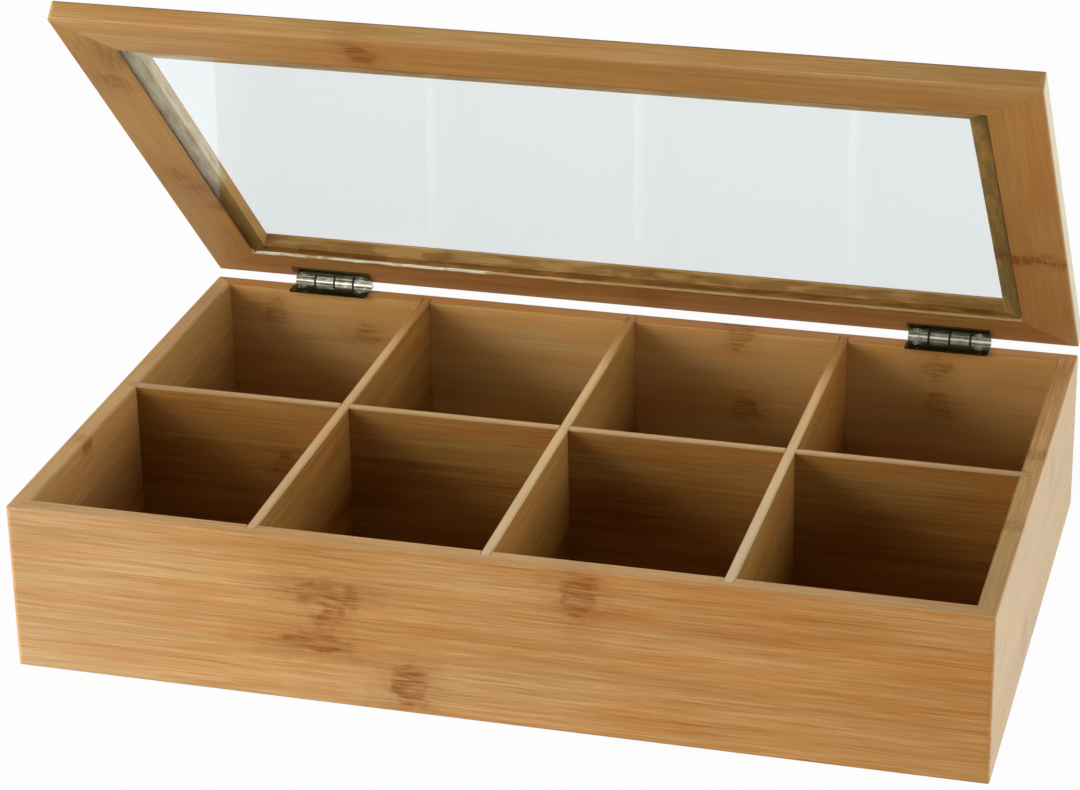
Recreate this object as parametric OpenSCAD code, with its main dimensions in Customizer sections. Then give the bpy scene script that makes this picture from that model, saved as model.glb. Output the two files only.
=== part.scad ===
// Tea bag organizer box: a mitred bamboo box with eight compartments and a glazed lid on two butt hinges.
// The origin is the middle of the underside. +X points right, +Y to the hinges at the back, +Z up.

/* [Box] */
// Overall width, left to right
box_w = 380; // [280:1:460]
// Overall depth, front to back, without the hinges
box_d = 236; // [180:1:320]
// Height of the four walls
box_h = 69; // [50:1:110]
// Thickness of the walls
wall_t = 8; // [7:0.5:12]
// Thickness of the bottom panel
panel_t = 4; // [3:0.5:6]
// How far the bottom panel reaches under each wall, in its rebate
panel_let_in = 4; // [2:0.5:5]
// Clearance round the edge of the bottom panel
panel_fit = 0.2; // [0.1:0.05:0.5]

/* [Dividers] */
// Thickness of the dividers
divider_t = 4; // [3:0.5:6]
// How far the divider ends reach into the grooves of the walls
divider_let_in = 4; // [2:0.5:5]
// Clearance on each side of a divider in a groove or slot
divider_fit = 0.1; // [0.05:0.05:0.3]
// Share of the divider height cut from above in the long divider
halving = 0.5; // [0.35:0.05:0.65]

/* [Lid] */
// Thickness of the lid frame
lid_t = 8.5; // [7.5:0.5:12]
// Width of the lid rails
rail_w = 29; // [24:1:40]
// Width of the outer lip that carries the pane
lip_w = 7; // [4:0.5:10]
// Thickness of the pane
glass_t = 2; // [1.5:0.5:3]
// Depth of the pane below the inner face of the lid
glass_recess = 0.3; // [0.1:0.1:1]
// Width of the adhesive bead between the pane and its rebate
bead_w = 0.5; // [0.4:0.1:1.5]

/* [Edges] */
// Radius of the upright corners of the box and the lid
corner_r = 2; // [1:0.5:4]
// Radius of the long edges of the walls and rails
edge_r = 1.2; // [0.5:0.1:2]
// Radius of the top edges of the dividers
divider_edge_r = 0.6; // [0.3:0.1:1]

/* [Hinges] */
// Length of a hinge along its pin
hinge_len = 35; // [28:1:50]
// Distance from each end of the box to the middle of its hinge
hinge_inset = 54; // [30:1:90]
// Distance from the pin's axis to the free edge of a leaf
leaf_reach = 11; // [9:0.5:14]
// Thickness of the leaves
leaf_t = 0.8; // [0.6:0.1:1.2]
// Radius of the leaf corners
leaf_corner_r = 0.6; // [0.3:0.1:1.2]
// Diameter of the pin
pin_d = 1.2; // [1:0.1:2]
// Distance of the pin's axis behind the back wall
pin_set_back = 0.4; // [0.2:0.1:1]
// Radial clearance of the pin in the knuckles of the box leaf, which grip it
pin_grip = 0.02; // [0.01:0.01:0.04]
// Radial clearance of the pin in the knuckles of the lid leaf, which turn on it
pin_running = 0.05; // [0.03:0.01:0.08]
// Gap between neighbouring knuckles
knuckle_gap = 0.2; // [0.1:0.05:0.4]
// Clearance between a knuckle and the notch in the other leaf
notch_gap = 0.3; // [0.2:0.1:0.6]

/* [Screws] */
// Diameter of the screw shank
screw_d = 2; // [1.6:0.1:2.4]
// Diameter of the countersunk head
screw_head_d = 3.8; // [3.2:0.1:4.4]
// Height of the domed top of the head above the leaf
screw_dome = 0.35; // [0.1:0.05:0.4]
// Length of the screw below the leaf's upper face
screw_len = 7; // [5:0.5:7.5]
// Length of the screw's point
screw_point = 1.8; // [1:0.1:2.5]
// Distance from the pin's axis to the line of the screws
screw_reach = 5.6; // [4.8:0.1:6]
// Distance from the end of a leaf to its nearest screw
screw_inset = 4.4; // [3:0.1:7]
// Radial clearance of the screws in the leaves and the wood
screw_fit = 0.05; // [0.02:0.01:0.1]
// Width of the arms of the cross recess
recess_w = 0.45; // [0.3:0.05:0.7]
// Length of the arms of the cross recess
recess_len = 2.2; // [1.6:0.1:2.8]
// Depth of the cross recess below the top of the head
recess_depth = 0.6; // [0.4:0.1:0.9]

/* [Pose] */
// Angle of the open lid above the rim, as photographed
lid_open = 45.8; // [0:0.1:180]

/* [Hidden] */
$fn = 48;
bamboo = [0.76, 0.58, 0.37];
bamboo_dark = [0.68, 0.48, 0.28];
nickel = [0.78, 0.78, 0.76];
clear = [0.80, 0.88, 0.87, 0.35];
adhesive = [0.85, 0.83, 0.76, 0.6];
// Extra length of a cutting shape past the face that it opens
past = 1;
inner_w = box_w - 2 * wall_t;
inner_d = box_d - 2 * wall_t;
divider_h = box_h - panel_t;
// Pitch of the four columns of compartments
column_pitch = (inner_w + divider_t) / 4;
// Width of the grooves and slots that take a divider
slot_w = divider_t + 2 * divider_fit;
// Height at which the halved dividers meet
halving_z = panel_t + divider_h * (1 - halving);
hinge_x = box_w / 2 - hinge_inset;
knuckle_r = pin_d / 2 + leaf_t;
// The closed lid stands off the rim by one knuckle, because the leaves lie on the wood
lid_gap = 2 * knuckle_r;
pin_y = box_d / 2 + pin_set_back;
pin_z = box_h + knuckle_r;
lid_z = box_h + lid_gap;
rebate_edge = rail_w - lip_w;
rebate_t = glass_t + glass_recess;
knuckle_len = (hinge_len - 3 * knuckle_gap) / 4;
screw_x = hinge_len / 2 - screw_inset;

// A rectangle round the origin with rounded corners
module rounded_rect(w, h, r) {
  square([w - 2 * r, h], center = true);
  square([w, h - 2 * r], center = true);
  for (x = [-1, 1])
    for (y = [-1, 1])
      translate([x * (w / 2 - r), y * (h / 2 - r)])
        circle(r);
}

// A board along X, with its lower face at z = 0 and all four long edges rounded
module eased_board(len, thick, high, r) {
  translate([-len / 2, 0, high / 2])
    rotate([90, 0, 90])
      linear_extrude(len)
        rounded_rect(thick, high, r);
}

// The plan of one side of a mitred frame of the given outer size, seen from above, on the -Y side
module mitred_plan(w, d, t) {
  polygon([[-w / 2, -d / 2], [w / 2, -d / 2], [w / 2 - t, -d / 2 + t], [-w / 2 + t, -d / 2 + t]]);
}

// One side of a mitred frame, on the -Y side, with rounded long edges and rounded outer corners
module mitred_board(w, d, t, high, r) {
  intersection() {
    linear_extrude(high)
      mitred_plan(w, d, t);
    translate([0, -d / 2 + t / 2, 0])
      eased_board(w + past, t, high, r);
    linear_extrude(high)
      rounded_rect(w, d, corner_r);
  }
}

// A box-shaped space, centred on the origin in plan and standing at height z
module space(w, d, z, high) {
  translate([-w / 2, -d / 2, z])
    cube([w, d, high]);
}

// The rebate for the bottom panel
module panel_space() {
  space(inner_w + 2 * panel_let_in, inner_d + 2 * panel_let_in, -past, panel_t + past);
}

// The middle of each cross divider, left to right
function cross_x(i) = (i - 1) * column_pitch;

// The grooves for the dividers, from the bottom panel up through the rim
module divider_spaces() {
  space(inner_w + 2 * divider_let_in, slot_w, panel_t, divider_h + past);
  for (i = [0:2])
    translate([cross_x(i), 0, 0])
      space(slot_w, inner_d + 2 * divider_let_in, panel_t, divider_h + past);
}

// A wall on the -Y side of a box of the given size in plan
module wall(w, d) {
  mitred_board(w, d, wall_t, box_h, edge_r);
}

module front_wall() {
  color(bamboo)
    difference() {
      wall(box_w, box_d);
      panel_space();
      divider_spaces();
    }
}

module back_wall() {
  color(bamboo)
    difference() {
      rotate(180)
        wall(box_w, box_d);
      panel_space();
      divider_spaces();
      for (side = [-1, 1])
        on_box(side)
          screw_spaces();
    }
}

module side_wall(side) {
  color(bamboo)
    difference() {
      rotate(90 * side)
        wall(box_d, box_w);
      panel_space();
      divider_spaces();
    }
}

module bottom_panel() {
  color(bamboo_dark)
    space(inner_w + 2 * (panel_let_in - panel_fit), inner_d + 2 * (panel_let_in - panel_fit), 0, panel_t);
}

// A divider along X on the bottom panel, with its two top edges rounded and its foot square
module divider_board(len) {
  translate([0, 0, panel_t])
    eased_board(len, divider_t, divider_h, divider_edge_r);
  space(len, divider_t, panel_t, divider_h / 2);
}

module long_divider() {
  color(bamboo)
    difference() {
      divider_board(inner_w + 2 * (divider_let_in - divider_fit));
      for (i = [0:2])
        translate([cross_x(i), 0, 0])
          space(slot_w, divider_t + past, halving_z, divider_h);
    }
}

module cross_divider(i) {
  color(bamboo)
    translate([cross_x(i), 0, 0])
      difference() {
        rotate(90)
          divider_board(inner_d + 2 * (divider_let_in - divider_fit));
        space(divider_t + past, slot_w, panel_t - past, halving_z - panel_t + past);
      }
}

// Turns what is drawn on the closed lid about the hinge pins, to the photographed angle
module opened() {
  translate([0, pin_y, pin_z])
    rotate([-lid_open, 0, 0])
      translate([0, -pin_y, -pin_z])
        children();
}

// The rebate for the pane, in the inner face of the closed lid
module rebate_space() {
  space(box_w - 2 * rebate_edge, box_d - 2 * rebate_edge, lid_z - past, rebate_t + past);
}

// One rail of the closed lid, turned from the front to its own side
module lid_rail(w, d, turn) {
  difference() {
    translate([0, 0, lid_z])
      rotate(turn)
        mitred_board(w, d, rail_w, lid_t, edge_r);
    rebate_space();
  }
}

module lid_front_rail() {
  color(bamboo)
    opened()
      lid_rail(box_w, box_d, 0);
}

module lid_rear_rail() {
  color(bamboo)
    opened()
      difference() {
        lid_rail(box_w, box_d, 180);
        for (side = [-1, 1])
          on_lid(side)
            screw_spaces();
      }
}

module lid_side_rail(side) {
  color(bamboo)
    opened()
      lid_rail(box_d, box_w, 90 * side);
}

module lid_glass() {
  edge = rebate_edge + bead_w;
  color(clear)
    opened()
      space(box_w - 2 * edge, box_d - 2 * edge, lid_z + glass_recess, glass_t);
}

module glass_bead() {
  edge = rebate_edge + bead_w;
  color(adhesive)
    opened()
      difference() {
        space(box_w - 2 * rebate_edge, box_d - 2 * rebate_edge, lid_z + glass_recess, glass_t);
        space(box_w - 2 * edge, box_d - 2 * edge, lid_z, lid_t);
      }
}

// Places a leaf or its screws on the rim: pin axis at the origin, leaf towards -Y, wood below
module on_box(side) {
  translate([side * hinge_x, pin_y, pin_z])
    children();
}

// The same for the level lid, which mirrors the rim about the pin's height
module on_lid(side) {
  translate([side * hinge_x, pin_y, pin_z])
    mirror([0, 0, 1])
      children();
}

// Start of knuckle i, of four, along the pin
function knuckle_x(i) = -hinge_len / 2 + i * (knuckle_len + knuckle_gap);

// A rod on the pin's axis, from x to the right
module along_pin(x, len, r) {
  translate([x, 0, 0])
    rotate([0, 90, 0])
      cylinder(h = len, r = r);
}

// A leaf that carries the knuckles first and first + 2, with the wood below it
module leaf(first, clearance) {
  notch = knuckle_r + notch_gap;
  color(nickel)
    difference() {
      union() {
        translate([0, -(leaf_reach + notch) / 2, -knuckle_r])
          linear_extrude(leaf_t)
            rounded_rect(hinge_len, leaf_reach - notch, leaf_corner_r);
        for (i = [first, first + 2]) {
          translate([knuckle_x(i), -notch - leaf_corner_r, -knuckle_r])
            cube([knuckle_len, notch + leaf_corner_r, leaf_t]);
          along_pin(knuckle_x(i), knuckle_len, knuckle_r);
        }
      }
      along_pin(-hinge_len / 2 - past, hinge_len + 2 * past, pin_d / 2 + clearance);
      screw_spaces();
    }
}

module hinge_pin(side) {
  color(nickel)
    on_box(side)
      along_pin(-hinge_len / 2, hinge_len, pin_d / 2);
}

// A countersunk screw pointing down, with the leaf's upper face at z = 0
module screw_body(extra) {
  r = screw_d / 2 + extra;
  head_r = screw_head_d / 2 + extra;
  translate([0, 0, -(head_r - r)])
    cylinder(h = head_r - r, r1 = r, r2 = head_r);
  translate([0, 0, screw_point - screw_len])
    cylinder(h = screw_len - screw_point, r = r);
  translate([0, 0, -screw_len])
    cylinder(h = screw_point, r1 = extra, r2 = r);
}

module screw_dome_top() {
  r = screw_head_d / 2;
  ball_r = (r * r + screw_dome * screw_dome) / (2 * screw_dome);
  intersection() {
    translate([0, 0, screw_dome - ball_r])
      sphere(ball_r);
    cylinder(h = screw_dome, r = r);
  }
}

module screw() {
  difference() {
    union() {
      screw_body(0);
      screw_dome_top();
    }
    for (turn = [0, 90])
      rotate(turn)
        space(recess_len, recess_w, screw_dome - recess_depth, recess_depth + past);
  }
}

// Where the two screws of a leaf stand
module at_screws() {
  for (x = [-screw_x, screw_x])
    translate([x, -screw_reach, leaf_t - knuckle_r])
      children();
}

module screw_spaces() {
  at_screws()
    screw_body(screw_fit);
}

module leaf_screws() {
  color(nickel)
    at_screws()
      screw();
}

front_wall();
back_wall();
side_wall(-1);  // left_wall
side_wall(1);  // right_wall
bottom_panel();
long_divider();
cross_divider(0);  // cross_divider_left
cross_divider(1);  // cross_divider_middle
cross_divider(2);  // cross_divider_right
lid_front_rail();
lid_rear_rail();
lid_side_rail(-1);  // lid_left_rail
lid_side_rail(1);  // lid_right_rail
lid_glass();
glass_bead();
on_box(-1) leaf(0, pin_grip);  // left_hinge_box_leaf
opened() on_lid(-1) leaf(1, pin_running);  // left_hinge_lid_leaf
hinge_pin(-1);  // left_hinge_pin
on_box(-1) leaf_screws();  // left_hinge_box_screws
opened() on_lid(-1) leaf_screws();  // left_hinge_lid_screws
on_box(1) leaf(0, pin_grip);  // right_hinge_box_leaf
opened() on_lid(1) leaf(1, pin_running);  // right_hinge_lid_leaf
hinge_pin(1);  // right_hinge_pin
on_box(1) leaf_screws();  // right_hinge_box_screws
opened() on_lid(1) leaf_screws();  // right_hinge_lid_screws
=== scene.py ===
"""Looks of the tea bag organizer box: bamboo boards, a glass pane, nickel hinges, light and camera."""
import math

import bpy
from mathutils import Matrix, Vector, noise

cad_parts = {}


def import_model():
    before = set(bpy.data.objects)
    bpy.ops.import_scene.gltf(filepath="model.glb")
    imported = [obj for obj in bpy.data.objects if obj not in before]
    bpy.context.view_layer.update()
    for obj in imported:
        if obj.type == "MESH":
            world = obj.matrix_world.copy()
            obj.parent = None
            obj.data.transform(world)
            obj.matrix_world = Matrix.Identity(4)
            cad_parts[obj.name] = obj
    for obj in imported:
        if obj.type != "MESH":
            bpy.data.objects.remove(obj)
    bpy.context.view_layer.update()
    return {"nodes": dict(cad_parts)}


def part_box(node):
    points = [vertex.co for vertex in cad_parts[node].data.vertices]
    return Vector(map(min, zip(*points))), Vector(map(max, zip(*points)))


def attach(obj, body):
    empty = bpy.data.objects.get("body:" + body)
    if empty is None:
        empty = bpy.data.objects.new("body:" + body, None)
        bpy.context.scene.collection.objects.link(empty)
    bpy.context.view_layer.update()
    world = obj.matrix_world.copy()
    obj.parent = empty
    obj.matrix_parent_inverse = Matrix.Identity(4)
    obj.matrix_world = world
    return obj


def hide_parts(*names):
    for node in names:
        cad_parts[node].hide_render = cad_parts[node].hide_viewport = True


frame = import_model()

MM = 0.001
X = Vector((1, 0, 0))
Y = Vector((0, 1, 0))
Z = Vector((0, 0, 1))


def srgb(r, g, b):
    """A colour written as it shows, from 0 to 255, as the linear values that shaders take."""
    def linear(v):
        v /= 255
        return v / 12.92 if v <= 0.04045 else ((v + 0.055) / 1.055) ** 2.4
    return (linear(r), linear(g), linear(b), 1.0)


WHITE = (1, 1, 1, 1)


class Graph:
    """Short calls for building a node tree. A socket argument is another node's output or a plain value."""

    def __init__(self, tree):
        self.tree = tree

    def node(self, kind, inputs=None, **settings):
        n = self.tree.nodes.new(kind)
        for key, value in settings.items():
            setattr(n, key, value)
        for key, value in (inputs or {}).items():
            self.feed(n.inputs[key], value)
        return n

    def feed(self, socket, value):
        if isinstance(value, bpy.types.NodeSocket):
            self.tree.links.new(value, socket)
        else:
            socket.default_value = value

    def math(self, operation, a, b=0.0, c=0.0):
        return self.node("ShaderNodeMath", {0: a, 1: b, 2: c}, operation=operation).outputs[0]

    def product(self, first, *others):
        for other in others:
            first = self.math("MULTIPLY", first, other)
        return first

    def stir(self, value, *noises):
        """A value moved up and down by noises from 0 to 1, each given with its weight."""
        for one, weight in noises:
            value = self.math("MULTIPLY_ADD", self.math("SUBTRACT", one, 0.5), weight, value)
        return value

    def vector(self, operation, a, b=(0, 0, 0)):
        n = self.node("ShaderNodeVectorMath", {0: a, 1: b}, operation=operation)
        return n.outputs["Value" if operation == "LENGTH" else "Vector"]

    def joined(self, x=0.0, y=0.0, z=0.0):
        return self.node("ShaderNodeCombineXYZ", {"X": x, "Y": y, "Z": z}).outputs[0]

    def split(self, vector):
        return self.node("ShaderNodeSeparateXYZ", {0: vector}).outputs

    def ramp(self, value, low, high, to_low=0.0, to_high=1.0):
        """A smooth step of value from low to high."""
        n = self.node(
            "ShaderNodeMapRange",
            {"Value": value, "From Min": low, "From Max": high, "To Min": to_low, "To Max": to_high},
            interpolation_type="SMOOTHSTEP",
        )
        return n.outputs["Result"]

    def noise(self, point, size, detail=2.0, roughness=0.5):
        """Noise from 0 to 1 whose grains have the given size along each axis."""
        scaled = self.vector("MULTIPLY", point, [1 / s for s in size])
        inputs = {"Vector": scaled, "Scale": 1.0, "Detail": detail, "Roughness": roughness}
        return self.node("ShaderNodeTexNoise", inputs).outputs["Fac"]

    def mix(self, factor, a, b, blend="MIX"):
        n = self.node("ShaderNodeMix", {"Factor": factor}, data_type="RGBA", blend_type=blend)
        self.feed(n.inputs[6], a)
        self.feed(n.inputs[7], b)
        return n.outputs[2]

    def tone(self, factor, colour, tint):
        """A colour, multiplied by a tint as far as the factor says."""
        return self.mix(factor, colour, self.mix(1.0, colour, tint, "MULTIPLY"))

    def colours(self, value, *stops):
        n = self.node("ShaderNodeValToRGB", {"Fac": value})
        marks = n.color_ramp.elements
        while len(marks) < len(stops):
            marks.new(1.0)
        for mark, (place, colour) in zip(marks, stops):
            mark.position = place
            mark.color = colour
        return n.outputs["Color"]

    def object_point(self):
        return self.node("ShaderNodeTexCoord").outputs["Object"]

    def seen(self):
        """1 for rays from the eye, metal and glass, and 0 for the rays that gather light."""
        rays = self.node("ShaderNodeLightPath").outputs
        mirrored = self.math("MAXIMUM", rays["Is Glossy Ray"], rays["Is Transmission Ray"])
        return self.math("MAXIMUM", rays["Is Camera Ray"], mirrored)

    def blend_surface(self, factor, shader, other):
        """Makes the material's surface of two shaders."""
        either = self.node("ShaderNodeMixShader", {0: factor, 1: shader.outputs[0], 2: other.outputs[0]})
        self.feed(self.tree.nodes["Material Output"].inputs["Surface"], either.outputs[0])


def new_group(name, inputs, outputs):
    """An empty node group with the given sockets, as (name, kind) pairs."""
    tree = bpy.data.node_groups.new(name, "ShaderNodeTree")
    for where, sockets in (("INPUT", inputs), ("OUTPUT", outputs)):
        for label, kind in sockets:
            tree.interface.new_socket(label, in_out=where, socket_type="NodeSocket" + kind)
    g = Graph(tree)
    return g, g.node("NodeGroupInput").outputs, g.node("NodeGroupOutput").inputs


def new_material(name):
    """A node material, its graph and its Principled shader."""
    material = bpy.data.materials.new(name)
    material.use_nodes = True
    g = Graph(material.node_tree)
    shader = material.node_tree.nodes["Principled BSDF"]
    return material, g, shader


def new_object(name, data):
    obj = bpy.data.objects.new(name, data)
    bpy.context.collection.objects.link(obj)
    return obj


def dress(node, material):
    """Gives a CAD node its material."""
    mesh = frame["nodes"][node].data
    mesh.materials.clear()
    mesh.materials.append(material)


# Sizes of the marks on the bamboo along, across and through a board, in millimetres
SLOW_SWAY = (80, 20, 20)
QUICK_SWAY = (14, 5, 5)
BANDS = (170, 4.5, 4.5)
STREAKS = (46, 0.95, 0.95)
FIBRES = (15, 0.36, 0.36)
CLOUDS = (70, 26, 26)
HUES = (120, 6, 6)
DASHES = (10, 1.1, 1.1)
# Patches of painted shade on the lids' lips
LIP_SHADE_PATCHES = (16, 4, 4)
SMEARS = (18, 3, 3)

# How far the fibres sway, in millimetres
SLOW_REACH = 1.6
CALM_REACH = 0.3
KNOT_REACH = 1.6

# How far the pattern jumps from board to board and from strip to strip, in millimetres, and how far the row
# of the strips' tones jumps from board to board
BOARD_JUMP = Vector((317, 41, 23))
STRIP_JUMP = 57
TONE_JUMP = 3.7

BAMBOO_DARK = srgb(152, 99, 46)
BAMBOO_BROWN = srgb(188, 135, 77)
BAMBOO_STRAW = srgb(202, 153, 95)
BAMBOO_PALE = srgb(218, 178, 126)
COOL_TINT = srgb(250, 255, 255)
YELLOW_TINT = srgb(255, 246, 234)
KNOT_COLOUR = srgb(144, 86, 28)
LACQUER_ROUGHNESS = 0.38


def bamboo_group():
    """Pressed bamboo, in millimetres: x along the fibres, y across the strips, z through the board."""
    g, given, out = new_group(
        "bamboo",
        [("Point", "Vector"), ("Seed", "Float"), ("Strip", "Float"), ("Knot", "Float"), ("Grain", "Float")],
        [("Color", "Color"), ("Roughness", "Float"), ("Height", "Float")],
    )
    board_jump = [g.math("MULTIPLY", given["Seed"], step) for step in BOARD_JUMP]
    point = g.vector("ADD", given["Point"], g.joined(*board_jump))
    strip = g.math("ROUND", g.math("DIVIDE", g.split(given["Point"])["Y"], given["Strip"]))
    strip_jump = g.math("MULTIPLY", strip, STRIP_JUMP)
    point = g.vector("ADD", point, g.joined(x=strip_jump, z=strip_jump))

    # The fibres run a little askew, and most of all at a knot
    slow = g.math("SUBTRACT", g.noise(point, SLOW_SWAY, detail=1), 0.5)
    quick = g.math("SUBTRACT", g.noise(point, QUICK_SWAY, detail=1), 0.5)
    quick_reach = g.math("MULTIPLY_ADD", given["Knot"], KNOT_REACH, CALM_REACH)
    sway = g.math("MULTIPLY_ADD", quick, quick_reach, g.math("MULTIPLY", slow, SLOW_REACH))
    point = g.vector("ADD", point, g.joined(y=sway))

    bands = g.noise(point, BANDS, detail=2)
    streaks = g.noise(point, STREAKS, detail=3, roughness=0.6)
    fibres = g.noise(point, FIBRES, detail=1)
    clouds = g.noise(point, CLOUDS, detail=1)
    strip_seed = g.math("ADD", strip, g.math("MULTIPLY", given["Seed"], TONE_JUMP))
    strip_noise = g.node("ShaderNodeTexWhiteNoise", {"W": strip_seed}, noise_dimensions="1D")
    strip_tone = strip_noise.outputs["Value"]

    lines = g.stir(0.0, (bands, 0.38), (streaks, 0.78), (fibres, 0.46))
    value = g.math("MULTIPLY_ADD", lines, given["Grain"], 0.5)
    value = g.stir(value, (clouds, 0.34), (strip_tone, 0.16))
    colour = g.colours(
        value,
        (0.08, BAMBOO_DARK),
        (0.36, BAMBOO_BROWN),
        (0.54, BAMBOO_STRAW),
        (0.80, BAMBOO_PALE),
    )
    hue = g.noise(point, HUES, detail=2)
    colour = g.mix(1.0, colour, g.colours(hue, (0.36, COOL_TINT), (0.64, YELLOW_TINT)), "MULTIPLY")

    # A knot is a cluster of short dark dashes
    dashes = g.ramp(g.noise(point, DASHES, detail=2), 0.34, 0.70)
    knot = g.math("MULTIPLY", given["Knot"], g.math("MULTIPLY_ADD", dashes, 0.60, 0.34))
    g.feed(out["Color"], g.mix(knot, colour, KNOT_COLOUR))
    g.feed(out["Roughness"], g.math("MULTIPLY_ADD", streaks, 0.14, LACQUER_ROUGHNESS))
    g.feed(out["Height"], g.math("ADD", streaks, g.math("MULTIPLY", fibres, 0.6)))
    return g.tree


BAMBOO = bamboo_group()

# Painted shade tint for the inner faces
INSIDE_SHADE_TINT = srgb(236, 240, 230)
# Painted sheen: a pale colour laid where faces catch the lamps and the bright surroundings
PAINTED_SHEEN_COLOUR = srgb(230, 219, 190)
SMEAR_AND_PAINTED_LIGHT_COLOUR = srgb(224, 208, 168)
# Painted shadow tint for the rear ends of the dividers' tops
END_SHADOW_TINT = srgb(218, 204, 176)
WARM_TINT = srgb(255, 242, 224)
# Painted shade for the rounded arrises
ARRIS_SHADE_TINT = srgb(120, 112, 96)

# Widths of the pressed strips, in millimetres
WALL_STRIP = 23
RAIL_STRIP = 29

# The lip of a lid rail, in millimetres: its width, where it starts and ends through the rail, and how soft
# the borders of its painted shade and smears are
LIP_WIDTH = 7.0
LIP_START = -2.0
LIP_END = 2.6
LIP_BLUR = 0.4

# How far a knot's outline is ragged along and across the fibres, in millimetres, how finely, and how strong
# its halo is
KNOT_RAGS = (16, 9, 0)
KNOT_RAG_SCALE = 0.18
HALO_SHARE = 0.4

# How deep in a board the mask of a side starts, and how deep it is full, in millimetres
EDGE_SKIN = (0.7, 0.3)
INNER_SKIN = (1.4, 1.0)
SHEEN_SKIN = (0.6, 0.1)
ARRIS_SKIN = (1.0, 0.3)

THIN_LACQUER_ROUGHNESS = 0.14
BARE_EDGE_ROUGHNESS = 0.3
GRAIN_STRENGTH = 0.25
GRAIN_DEPTH = 0.1 * MM


def board_frame(node, along, across):
    """A matrix with axes along, across and through a board and its origin in the middle, and the size."""
    axes = Matrix((along, across, along.cross(across)))
    places = [axes @ v.co for v in frame["nodes"][node].data.vertices]
    low = Vector(map(min, *places))
    high = Vector(map(max, *places))
    placed = axes.transposed().to_4x4()
    placed.translation = axes.transposed() @ ((low + high) / 2)
    return placed, (high - low) / MM


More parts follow.
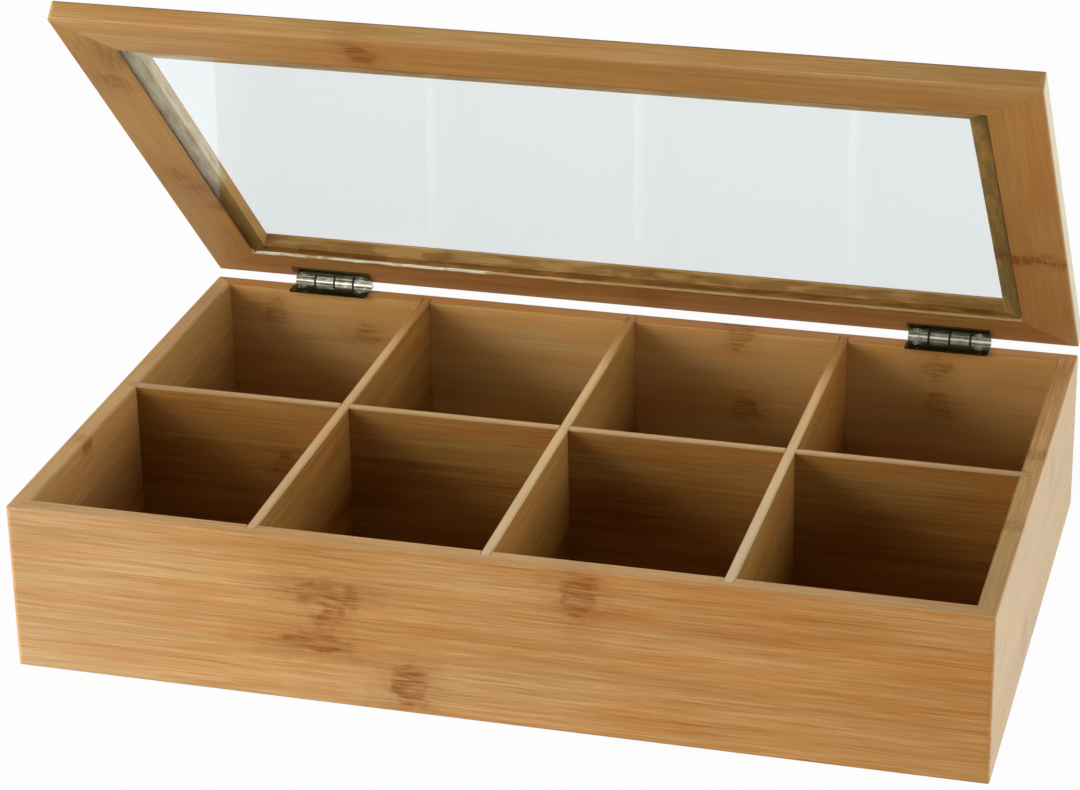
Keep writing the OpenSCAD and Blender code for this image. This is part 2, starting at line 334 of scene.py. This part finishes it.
class Board:
    """
    Bamboo for one board, in millimetres: X along the fibres, Y across them and Z through the board. Each
    knot is (along, across, half length, half width).
    """

    def __init__(self, node, along, across, seed, grain=1.0, strip=WALL_STRIP, knots=(), knot_depth=1.0):
        placed, self.size = board_frame(node, along, across)
        self.node = node
        self.material, self.g, self.shader = new_material(f"bamboo_{node}")
        self.inner_side = 0
        g = self.g
        self.point = g.node("ShaderNodeMapping", {
            "Vector": g.object_point(),
            "Location": placed.translation,
            "Rotation": placed.to_euler(),
            "Scale": (MM, MM, MM),
        }, vector_type="TEXTURE").outputs[0]
        self.place = g.split(self.point)
        self.edge = self.skin(g.math("ABSOLUTE", self.place["Y"]), self.size.y, EDGE_SKIN)
        wood = g.node("ShaderNodeGroup", node_tree=BAMBOO)
        knot = self.knot_mask(knots, knot_depth)
        given = {"Point": self.point, "Seed": seed, "Strip": strip, "Knot": knot, "Grain": grain}
        for key, value in given.items():
            g.feed(wood.inputs[key], value)
        self.colour = wood.outputs["Color"]
        self.roughness = wood.outputs["Roughness"]
        self.height = wood.outputs["Height"]

    def skin(self, distance, thickness, depths, share=1.0):
        """A mask of the board's sides, where the distance from its middle comes near half its thickness."""
        deep, full = depths
        return self.g.ramp(distance, thickness / 2 - deep, thickness / 2 - full, to_high=share)

    def knot_mask(self, knots, depth):
        """Each knot has a dark middle and a fainter halo, both with a ragged outline."""
        g = self.g
        inputs = {"Vector": self.point, "Scale": KNOT_RAG_SCALE, "Detail": 3.0}
        rags = g.vector("SUBTRACT", g.node("ShaderNodeTexNoise", inputs).outputs["Color"], (0.5, 0.5, 0.5))
        warped = g.vector("ADD", self.point, g.vector("MULTIPLY", rags, KNOT_RAGS))
        mask = 0.0
        for x, y, half_length, half_width in knots:
            spread = g.vector("SUBTRACT", warped, (x, y, 0))
            spread = g.vector("MULTIPLY", spread, (1 / half_length, 1 / half_width, 0))
            away = g.vector("LENGTH", spread)
            halo = g.ramp(away, 2.1, 0.6, to_high=HALO_SHARE)
            middle = g.ramp(away, 1.0, 0.5)
            near = g.math("MULTIPLY_ADD", middle, 1 - HALO_SHARE, halo)
            mask = g.math("MAXIMUM", mask, g.math("MULTIPLY", near, depth))
        return mask

    def face_inwards(self, side):
        """The face on that side of Z, or each face if side is 0, has the inside's thin, dull lacquer, and a
        painted shade tint that darkens and cools it like the shaded inside of the box.
        """
        g = self.g
        self.inner_side = side
        inward = 1.0
        if side:
            inward = self.skin(g.math("MULTIPLY", self.place["Z"], side), self.size.z, INNER_SKIN)
        # Painted shade: the inside tint darkens and cools the inner faces, which sit in shade
        self.colour = g.tone(inward, self.colour, g.mix(self.edge, INSIDE_SHADE_TINT, WHITE))
        self.roughness = g.math("MULTIPLY_ADD", inward, THIN_LACQUER_ROUGHNESS, self.roughness)

    def sheen_and_warmth(self, pale, warm):
        """The board is paler towards its left end, a painted sheen of the lamp on that side, and warmer
        towards its right end.
        """
        g = self.g
        length = self.size.x
        pale = g.ramp(self.place["X"], -0.5 * length, -0.2 * length, to_low=pale, to_high=0.0)
        warm = g.ramp(self.place["X"], 0.0, 0.4 * length, to_high=warm)
        self.colour = g.mix(pale, self.colour, PAINTED_SHEEN_COLOUR)
        self.colour = g.tone(warm, self.colour, WARM_TINT)

    def tint_faces(self, tint):
        self.colour = self.g.mix(1.0, self.colour, self.g.mix(self.edge, tint, WHITE), "MULTIPLY")

    def tint_edges(self, tint):
        self.colour = self.g.tone(self.edge, self.colour, tint)

    def blend_edges(self, first, last, colour):
        """The edges go towards a colour, by a share that changes along the board from first to last."""
        g = self.g
        share = g.ramp(self.place["X"], -self.size.x / 2, self.size.x / 2, to_low=first, to_high=last)
        self.colour = g.mix(g.product(self.edge, share), self.colour, colour)

    def paint_shadow_at_last_end(self, length):
        """The edges carry a painted shadow along that length at the last end of the board, where the lid's
        rear rail shades them.
        """
        g = self.g
        half = self.size.x / 2
        end = g.ramp(self.place["X"], half - length, half - 0.4 * length)
        self.colour = g.tone(g.product(self.edge, end), self.colour, END_SHADOW_TINT)

    def paint_sheen_on_face(self, axis, side, share):
        """The face on that side of an axis is paler: a painted sheen of the bright surroundings that it
        meets at a glancing angle.
        """
        distance = self.g.math("MULTIPLY", self.place[axis], side)
        face = self.skin(distance, self.size["XYZ".index(axis)], SHEEN_SKIN, share)
        self.colour = self.g.mix(face, self.colour, PAINTED_SHEEN_COLOUR)

    def lip_mask(self, side):
        """The lip on that side of Y of a lid rail."""
        g = self.g
        inner = self.size.y / 2 - LIP_WIDTH
        beyond = g.ramp(g.math("MULTIPLY", self.place["Y"], side), inner - LIP_BLUR, inner + LIP_BLUR / 2)
        after_start = g.ramp(self.place["Z"], LIP_START - LIP_BLUR, LIP_START)
        before_end = g.ramp(self.place["Z"], LIP_END + 2 * LIP_BLUR, LIP_END)
        return g.product(beyond, after_start, before_end)

    def shade_lip(self, side, share, tint):
        """Painted shade darkens the lip in patches, where the pane holds back part of the light that
        reaches it.
        """
        g = self.g
        patches = g.ramp(g.noise(self.point, LIP_SHADE_PATCHES), 0.4, 0.6, to_low=0.55, to_high=1.1)
        self.colour = g.tone(g.product(self.lip_mask(side), patches, share), self.colour, tint)

    def smear_and_light_lip(self, side, until, rest=0.0):
        """Adhesive is smeared along the lip up to a place along the rail; the fainter film beyond it is
        painted light that lifts the shaded lip.
        """
        g = self.g
        patches = g.ramp(g.noise(self.point, SMEARS, detail=3), 0.34, 0.62, to_low=0.30, to_high=0.85)
        film = g.ramp(self.place["X"], until + 10, until - 15, to_low=rest)
        self.colour = g.mix(g.product(film, patches, self.lip_mask(side)), self.colour, SMEAR_AND_PAINTED_LIGHT_COLOUR)

    def finish(self, gloss=0.12, arris=0.25):
        """Dresses the board. Its long arrises get painted shade that dulls the lamps' highlight on their
        rounding, and its edges have little lacquer.
        """
        g = self.g
        distance = g.math("ABSOLUTE", self.place["Z"])
        if self.inner_side:
            distance = g.math("MULTIPLY", self.place["Z"], self.inner_side)
        # Painted shade: the long arrises are darkened over the highlight that the lamps put on their
        # rounding
        painted_arris_shade = g.product(self.edge, self.skin(distance, self.size.z, ARRIS_SKIN), arris)
        colour = g.tone(painted_arris_shade, self.colour, ARRIS_SHADE_TINT)
        roughness = g.math("MULTIPLY_ADD", self.edge, BARE_EDGE_ROUGHNESS, self.roughness)
        relief = {"Height": self.height, "Strength": GRAIN_STRENGTH, "Distance": GRAIN_DEPTH}
        g.feed(self.shader.inputs["Base Color"], colour)
        g.feed(self.shader.inputs["Roughness"], roughness)
        g.feed(self.shader.inputs["Normal"], g.node("ShaderNodeBump", relief).outputs["Normal"])
        self.shader.inputs["Specular IOR Level"].default_value = gloss
        dress(self.node, self.material)


def front_wall():
    board = Board("front_wall", X, Z, seed=1, knots=[
        (-61, 12, 19, 6), (-60, 2, 7, 7), (-66, -9, 20, 6), (-30, -23, 10, 12), (37, 24, 10, 13),
    ])
    board.face_inwards(-1)
    board.sheen_and_warmth(pale=0.1, warm=1.0)
    board.blend_edges(0.25, 0.35, srgb(198, 168, 122))
    board.finish(gloss=0.15)


def back_wall():
    board = Board("back_wall", X, Z, seed=2, grain=0.4, knot_depth=0.8, knots=[
        (-162, 24, 6, 8), (-119, 16, 8, 6), (47, 32, 8, 6), (51, -2, 7, 8), (132, 25, 8, 7), (134, 9, 6, 9),
    ])
    board.face_inwards(1)
    board.tint_edges(srgb(236, 226, 206))
    board.finish(gloss=0.1)


def left_wall():
    board = Board("left_wall", Y, Z, seed=3, grain=0.8, knots=[(30, 0, 7, 11), (-54, 33, 5, 6)])
    board.face_inwards(1)
    board.tint_faces(srgb(238, 234, 228))
    board.blend_edges(0.5, 0.5, srgb(206, 170, 122))
    board.finish()


def right_wall():
    board = Board("right_wall", Y, Z, seed=4, grain=1.3, knots=[
        (40, 18, 7, 10), (-30, -22, 8, 11), (18, 35, 5, 6), (-44, 35, 4, 6),
    ])
    board.face_inwards(-1)
    board.blend_edges(0.5, 0.05, srgb(190, 164, 112))
    board.paint_sheen_on_face("Z", 1, 0.46)
    board.finish(gloss=0.06, arris=0.9)


def bottom_panel():
    board = Board("bottom_panel", X, Y, seed=5, knots=[
        (-90, 20, 7, 11), (60, -55, 7, 11), (120, 70, 7, 11),
    ])
    board.finish()


# Painted shade: the dividers' faces are darkened to deepen the shade in the cells
DIVIDER_SHADE_TINT = srgb(210, 200, 176)
DIVIDER_EDGE_COLOUR = srgb(216, 190, 150)
DIVIDER_GLOSS = 0.07


def long_divider():
    board = Board("long_divider", X, Z, seed=6, grain=0.8, knots=[(-117, 2, 6, 9)])
    board.face_inwards(0)
    board.tint_faces(DIVIDER_SHADE_TINT)
    # Painted shade: the top edges are darkened where they lie in shade
    board.tint_edges(srgb(222, 222, 222))
    board.blend_edges(0.3, 0.4, DIVIDER_EDGE_COLOUR)
    board.finish(gloss=DIVIDER_GLOSS)


def cross_dividers():
    """The front ends of their edges are paler from the left divider to the right one."""
    for seed, side, front_paleness in ((7, "left", 0.55), (8, "middle", 0.7), (9, "right", 1.0)):
        board = Board(f"cross_divider_{side}", Y, Z, seed=seed)
        board.face_inwards(0)
        board.tint_faces(DIVIDER_SHADE_TINT)
        board.blend_edges(front_paleness, 0.25, DIVIDER_EDGE_COLOUR)
        # Painted shadow at the rear ends of the tops, under the lid's rear rail
        board.paint_shadow_at_last_end(60)
        board.finish(gloss=DIVIDER_GLOSS)


def lid_axes():
    """The lid's own depth and height axes, read from its tilted pane."""
    faces = frame["nodes"]["lid_glass"].data.polygons
    up = max(faces, key=lambda f: f.area).normal.copy()
    if up.z < 0:
        up.negate()
    return up.cross(X), up


LID_Y, LID_Z = lid_axes()
# Painted shade tint for the lips under the pane
LIP_SHADE_TINT = srgb(200, 200, 180)


def lid_front_rail():
    board = Board("lid_front_rail", X, LID_Y, seed=10, grain=0.75, strip=RAIL_STRIP, knots=[
        (-68, -4, 7, 10),
    ])
    board.tint_faces(srgb(240, 234, 216))
    board.tint_edges(srgb(246, 252, 252))
    board.shade_lip(1, 0.4, LIP_SHADE_TINT)
    # Painted light: the film beyond the smear runs along the whole rail and lightens the shaded lip
    board.smear_and_light_lip(1, until=-128, rest=0.38)
    board.finish(arris=0.3)


def lid_rear_rail():
    board = Board("lid_rear_rail", X, LID_Y, seed=11, strip=RAIL_STRIP, knot_depth=0.5, knots=[
        (8, 0, 8, 12),
    ])
    board.tint_faces(srgb(232, 223, 194))
    board.shade_lip(-1, 1.0, srgb(174, 164, 146))
    board.finish(gloss=0.04)


def lid_left_rail():
    board = Board("lid_left_rail", LID_Y, -X, seed=12, grain=0.6, strip=RAIL_STRIP, knot_depth=0.8, knots=[
        (-92, -4, 14, 9), (-68, 2, 6, 8), (18, 3, 4, 5), (31, -2, 5, 6), (48, -6, 6, 5),
    ])
    board.tint_faces(srgb(234, 238, 220))
    board.shade_lip(-1, 0.45, LIP_SHADE_TINT)
    board.smear_and_light_lip(-1, until=28)
    board.finish(gloss=0.08)


def lid_right_rail():
    board = Board("lid_right_rail", LID_Y, -X, seed=13, grain=0.5, strip=RAIL_STRIP, knots=[
        (33, 0, 5, 26),
    ])
    board.tint_faces(srgb(246, 233, 206))
    board.paint_sheen_on_face("Y", -1, 0.95)
    board.shade_lip(1, 1.0, srgb(178, 198, 204))
    board.finish()


def boards():
    front_wall()
    back_wall()
    left_wall()
    right_wall()
    bottom_panel()
    long_divider()
    cross_dividers()
    lid_front_rail()
    lid_rear_rail()
    lid_left_rail()
    lid_right_rail()


def glass():
    """The pane bends and mirrors what it shows, and lets the lamps through."""
    material, g, shader = new_material("clear_glass")
    shader.inputs["Base Color"].default_value = srgb(241, 247, 248)
    shader.inputs["Transmission Weight"].default_value = 1.0
    shader.inputs["Roughness"].default_value = 0.0
    shader.inputs["IOR"].default_value = 1.25
    passing = g.node("ShaderNodeBsdfTransparent", {"Color": srgb(240, 246, 245)})
    g.blend_surface(g.node("ShaderNodeLightPath").outputs["Is Shadow Ray"], shader, passing)
    dress("lid_glass", material)


# The run of adhesive, in millimetres: the gap that it fills, how far it laps over the pane, and its rise
THIN_RUN = {"gap": 0.46, "lap": 0.75, "lap_sway": 0.35, "rise": 0.16}
THICK_RUN = {"gap": 0.58, "lap": 1.6, "lap_sway": 1.8, "rise": 0.46}
RISE_SWAY = 0.8
RUN_DEPTH = 1.9
RUN_STEP = 2.5
RUN_CLEARANCE = 0.01

# Where the thick run of the rear rail ends, in millimetres from the middle of the box
THICK_RUN_END = -20


def run_path(low, high):
    """Points round a rectangle in the lid's plane, a short step apart."""
    corners = [(low.x, low.y), (high.x, low.y), (high.x, high.y), (low.x, high.y)]
    path = []
    for (ax, ay), (bx, by) in zip(corners, corners[1:] + corners[:1]):
        count = round(math.hypot(bx - ax, by - ay) / (RUN_STEP * MM))
        path += [(ax + (bx - ax) * i / count, ay + (by - ay) * i / count) for i in range(count)]
    return path


def swell(x, y, per_metre, layer):
    """Smooth noise about zero, with so many swells in a metre."""
    return noise.noise(Vector((x * per_metre, y * per_metre, layer)))


def run_section(x, y, run):
    """
    The outline of the adhesive at one point of its path, in metres: how far each corner is in from the
    rebate's side and over the pane. It fills the gap beside the pane and laps over it with a low crown.
    """
    wander = swell(x, y, 90, 0.3) + 0.5 * swell(x, y, 330, 4.1)
    lap = (run["lap"] + run["lap_sway"] * wander) * MM
    rise = run["rise"] * (1 + RISE_SWAY * swell(x, y, 150, 7.7)) * MM
    gap = run["gap"] * MM
    depth = RUN_DEPTH * MM
    tip = (max(lap, gap + 0.02 * MM), 0.01 * MM)
    crown = [(0.0, rise), (0.3 * lap, 0.95 * rise), (0.6 * lap, 0.7 * rise), (0.85 * lap, 0.35 * rise), tip]
    return [(0.0, -depth), *crown, (gap, 0.0), (gap, -depth)]


def loop_faces(sections, corners):
    """Faces that join each section to the next, and the last to the first."""
    faces = []
    for i in range(sections):
        j = (i + 1) % sections
        for k in range(corners):
            n = (k + 1) % corners
            faces.append((i * corners + k, j * corners + k, j * corners + n, i * corners + n))
    return faces


def adhesive_mesh():
    """Adhesive run round the pane by hand. It is thicker along the left half of the rear rail."""
    axes = Matrix((X, LID_Y, LID_Z))
    places = [axes @ v.co for v in frame["nodes"]["glass_bead"].data.vertices]
    low = Vector(map(min, *places))
    high = Vector(map(max, *places))
    path = run_path(low, high)
    points = []
    for x, y in path:
        thick = y > high.y - MM and x < THICK_RUN_END * MM
        for inward, up in run_section(x, y, THICK_RUN if thick else THIN_RUN):
            inward += RUN_CLEARANCE * MM
            px = min(max(x, low.x + inward), high.x - inward)
            py = min(max(y, low.y + inward), high.y - inward)
            points.append(X * px + LID_Y * py + LID_Z * (low.z - up))
    mesh = bpy.data.meshes.new("adhesive_run")
    mesh.from_pydata(points, [], loop_faces(len(path), len(points) // len(path)))
    mesh.shade_smooth()
    return mesh


def adhesive_material():
    """
    Set adhesive: milky at the left of the front rail, and clearer towards the right and up the lid, where
    it looks brown from the wood behind it.
    """
    material, g, shader = new_material("set_adhesive")
    point = g.object_point()
    place = g.split(point)
    patches = g.noise(point, (14 * MM, 14 * MM, 14 * MM), detail=3, roughness=0.6)
    to_the_right = g.ramp(place["X"], -85 * MM, -15 * MM)
    up_the_lid = g.ramp(place["Z"], 89 * MM, 92 * MM)
    on_front_rail = g.ramp(place["Z"], 92 * MM, 89 * MM)
    clear = g.math("MAXIMUM", to_the_right, up_the_lid)
    milky = g.math("SUBTRACT", patches, g.math("MULTIPLY", clear, 0.3))
    tan = g.colours(milky, (0.24, srgb(104, 78, 40)), (0.45, srgb(150, 118, 70)))
    tan = g.mix(on_front_rail, tan, srgb(216, 182, 126))
    g.feed(shader.inputs["Base Color"], g.mix(g.ramp(milky, 0.45, 0.53), tan, srgb(252, 248, 222)))
    g.feed(shader.inputs["Roughness"], g.ramp(milky, 0.3, 0.6, to_low=0.5, to_high=0.15))
    return material


def adhesive():
    mesh = adhesive_mesh()
    mesh.materials.append(adhesive_material())
    piece = new_object("adhesive_run", mesh)
    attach(piece, "lid")
    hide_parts("glass_bead")


LEAF_DARK_REFLECTION = srgb(134, 136, 118)
GAP_SHADE_COLOUR = srgb(44, 42, 32)
KNUCKLES = 4
KNUCKLE_REACH = 2.0 * MM


def nickel():
    """Polished nickel plate, faintly drawn along the pin, with painted shade in the joints of the knuckles
    and leaves painted darker as a dark reflection.
    """
    material, g, shader = new_material("nickel_plate")
    point = g.object_point()
    lines = g.noise(point, (12 * MM, 0.2 * MM, 0.2 * MM), detail=2)
    haze = g.noise(point, (3 * MM, 3 * MM, 3 * MM), detail=3)
    plate = g.colours(haze, (0.35, srgb(172, 171, 158)), (0.65, srgb(214, 211, 200)))

    low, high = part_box("left_hinge_pin")
    hinge_x = abs(low[0] + high[0]) / 2
    knuckle = (high[0] - low[0]) / KNUCKLES
    off_middle = g.math("SUBTRACT", g.math("ABSOLUTE", g.split(point)["X"]), hinge_x)
    knuckles_off = g.math("DIVIDE", off_middle, knuckle)
    joint = g.math("ABSOLUTE", g.math("SUBTRACT", knuckles_off, g.math("ROUND", knuckles_off)))
    between_ends = g.ramp(g.math("ABSOLUTE", knuckles_off), 1.5, 1.4)

    pin_middle = (0, (low[1] + high[1]) / 2, (low[2] + high[2]) / 2)
    off_pin = g.vector("MULTIPLY", g.vector("SUBTRACT", point, pin_middle), (0, 1, 1))
    radius = g.vector("LENGTH", off_pin)
    near_pin = g.ramp(radius, 1.1 * KNUCKLE_REACH, 0.9 * KNUCKLE_REACH)
    on_knuckle = g.ramp(radius, 1.2 * KNUCKLE_REACH, KNUCKLE_REACH)
    # Painted shade: dark lines at the joints between the knuckles, where shade falls in the gaps
    painted_gap_shade = g.product(g.ramp(joint, 0.075, 0.03), between_ends, near_pin)
    # Painted reflection: the leaves are darker than the knuckles, as if they mirror the dark wood around
    # them
    plate = g.mix(on_knuckle, LEAF_DARK_REFLECTION, plate)
    polish = g.ramp(lines, 0.3, 0.7, to_low=0.08, to_high=0.17)
    g.feed(shader.inputs["Base Color"], g.mix(painted_gap_shade, plate, GAP_SHADE_COLOUR))
    g.feed(shader.inputs["Roughness"], g.math("MULTIPLY_ADD", painted_gap_shade, 0.4, polish))
    shader.inputs["Metallic"].default_value = 1.0
    for node in frame["nodes"]:
        if "hinge" in node and "screws" not in node:
            dress(node, material)


def zinc():
    """Bright zinc on the screws, scuffed where the driver turned them, with painted glints: the colour
    jumps between dark and bright in small spots.
    """
    material, g, shader = new_material("zinc_plate")
    scuffs_and_glints = g.noise(g.object_point(), (0.8 * MM, 0.8 * MM, 0.8 * MM), detail=1)
    bump = g.node("ShaderNodeBump", {"Height": scuffs_and_glints, "Strength": 0.8, "Distance": 0.2 * MM})
    # Painted glints and shade: small spots of the screw heads are painted bright and dark
    colour = g.colours(scuffs_and_glints, (0.40, srgb(96, 98, 84)), (0.52, srgb(250, 250, 244)))
    g.feed(shader.inputs["Base Color"], colour)
    g.feed(shader.inputs["Roughness"], g.ramp(scuffs_and_glints, 0.3, 0.7, to_low=0.36, to_high=0.24))
    g.feed(shader.inputs["Normal"], bump.outputs["Normal"])
    shader.inputs["Metallic"].default_value = 1.0
    for node in frame["nodes"]:
        if node.endswith("_screws"):
            dress(node, material)


def floor():
    """A pale floor that shows white to the eye, less the object's soft shadow."""
    reach = 6.0
    drop = 0.3 * MM
    grey = 0.80
    shadow_share = 0.04
    mesh = bpy.data.meshes.new("floor")
    corners = [(-reach, -reach, 0), (reach, -reach, 0), (reach, reach, 0), (-reach, reach, 0)]
    mesh.from_pydata(corners, [], [(0, 1, 2, 3)])
    material, g, shader = new_material("pale_floor")
    shader.inputs["Base Color"].default_value = (grey, grey, grey, 1)
    shader.inputs["Roughness"].default_value = 0.9
    shader.inputs["Specular IOR Level"].default_value = 0.0
    white = g.node("ShaderNodeEmission", {"Color": WHITE, "Strength": 1.0})
    g.blend_surface(g.math("MULTIPLY", g.seen(), 1 - shadow_share), shader, white)
    mesh.materials.append(material)
    obj = new_object("floor", mesh)
    obj.location.z = -drop


def world():
    """Soft light, stronger near the horizon, and a white backdrop for the eye, metal and glass."""
    horizon_light = 0.11
    upper_light = 0.065
    upper_height = 0.55
    sky = bpy.data.worlds.new("studio")
    bpy.context.scene.world = sky
    sky.use_nodes = True
    g = Graph(sky.node_tree)
    background = sky.node_tree.nodes["Background"]
    height = g.split(g.node("ShaderNodeTexCoord").outputs["Generated"])["Z"]
    light = g.ramp(height, 0.0, upper_height, to_low=horizon_light, to_high=upper_light)
    g.feed(background.inputs["Strength"], g.math("MAXIMUM", g.seen(), light))
    background.inputs["Color"].default_value = WHITE


def softbox(name, at, width, height, power):
    """A lamp turned to the middle of the box."""
    middle = Vector((0, 0, 0.05))
    data = bpy.data.lights.new(name, "AREA")
    data.shape = "RECTANGLE"
    data.size = width
    data.size_y = height
    data.energy = power
    obj = new_object(name, data)
    obj.location = at
    obj.rotation_euler = (middle - Vector(at)).to_track_quat("-Z", "Y").to_euler()
    obj.visible_camera = False


def lights():
    softbox("key", at=(-1.18, -0.63, 0.46), width=0.90, height=0.75, power=20.4)
    softbox("strip", at=(-0.46, -1.25, 0.48), width=0.30, height=0.30, power=1.8)
    softbox("side", at=(1.70, -0.30, 0.44), width=0.90, height=0.80, power=16.6)
    softbox("back", at=(0.30, 1.90, 0.50), width=0.90, height=0.40, power=20.0)


def camera():
    """The photograph's view: a long lens above the front right corner, a little off level."""
    image_width = 1080
    focal_pixels = 3383
    at = Vector((0.3230, -1.1796, 0.6425))
    aim = Vector((-0.0093, 0, 0.1103))
    roll = math.radians(-1.04)
    data = bpy.data.cameras.new("camera")
    data.sensor_width = 36
    data.lens = focal_pixels * data.sensor_width / image_width
    data.shift_y = -0.06
    obj = new_object("camera", data)
    obj.location = at
    facing = (aim - at).to_track_quat("-Z", "Y").to_matrix() @ Matrix.Rotation(roll, 3, "Z")
    obj.rotation_euler = facing.to_euler()
    bpy.context.scene.camera = obj


camera()
boards()
glass()
adhesive()
nickel()
zinc()
floor()
world()
lights()
bpy.context.scene.view_settings.view_transform = "Standard"
